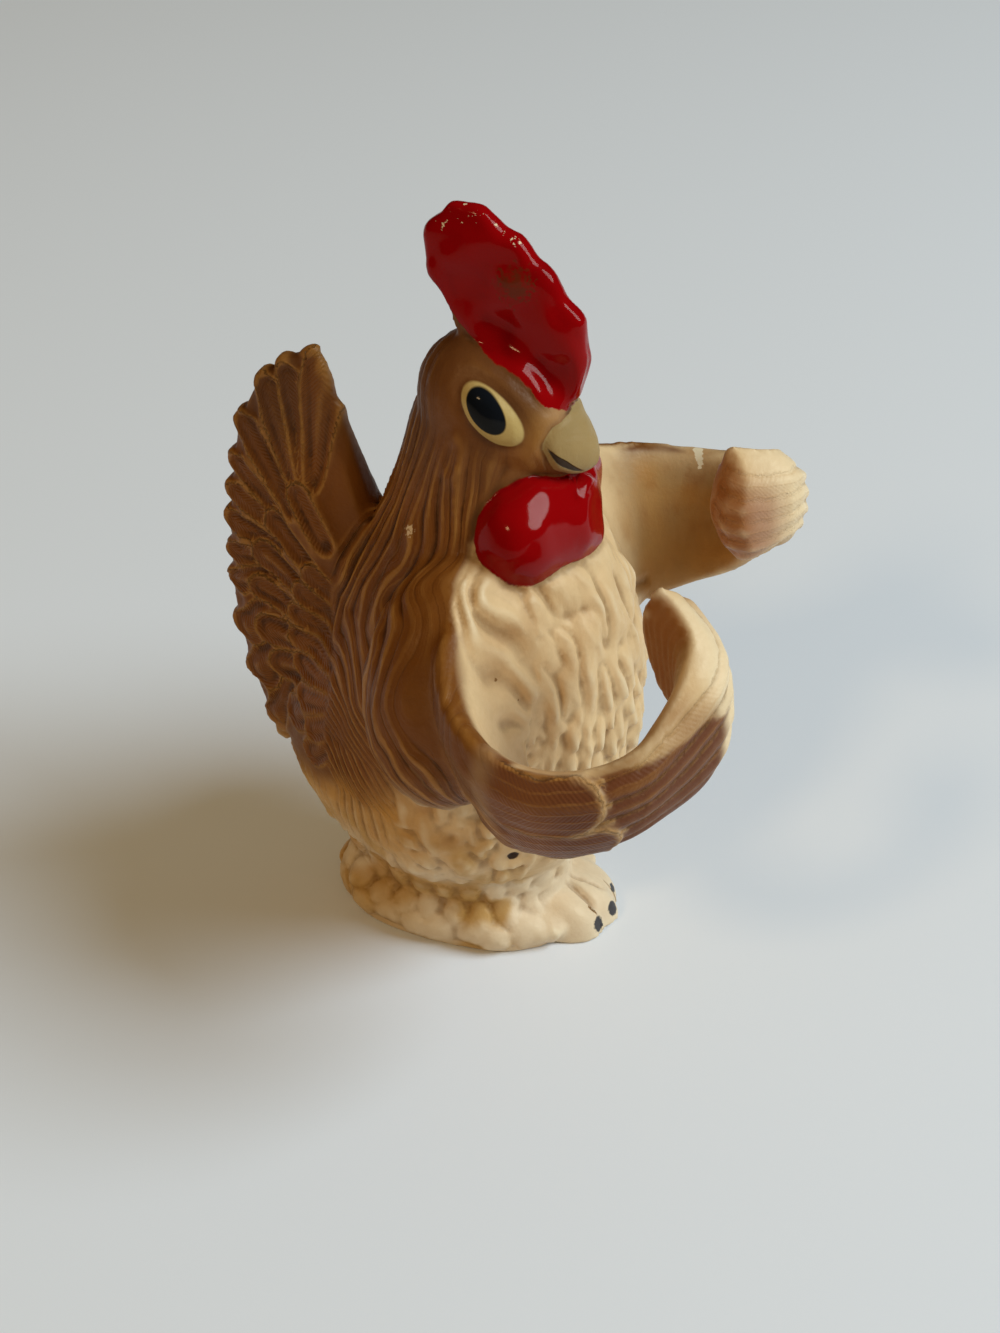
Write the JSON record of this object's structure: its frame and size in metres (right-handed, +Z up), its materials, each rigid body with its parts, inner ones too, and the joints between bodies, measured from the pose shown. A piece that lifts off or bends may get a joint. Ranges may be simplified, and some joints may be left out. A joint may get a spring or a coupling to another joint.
{
  "type": "rooster shaker holder",
  "caption": "Standing ceramic rooster with a fanned tail and wings curled forward into open cradles for egg-shaped shakers",
  "frame": {"origin": "middle of the foot, on its flat underside", "axes": "+X the way the bird faces, +Y the bird's left, +Z up; millimetre model, metre row"},
  "size_m": [0.1, 0.1085, 0.1393],
  "materials": {
    "ceramic": "satin hand-painted bisque with gloss red comb and wattles"
  },
  "bodies": {
    "root": {"rooster": "ceramic"}
  },
  "joints": []
}
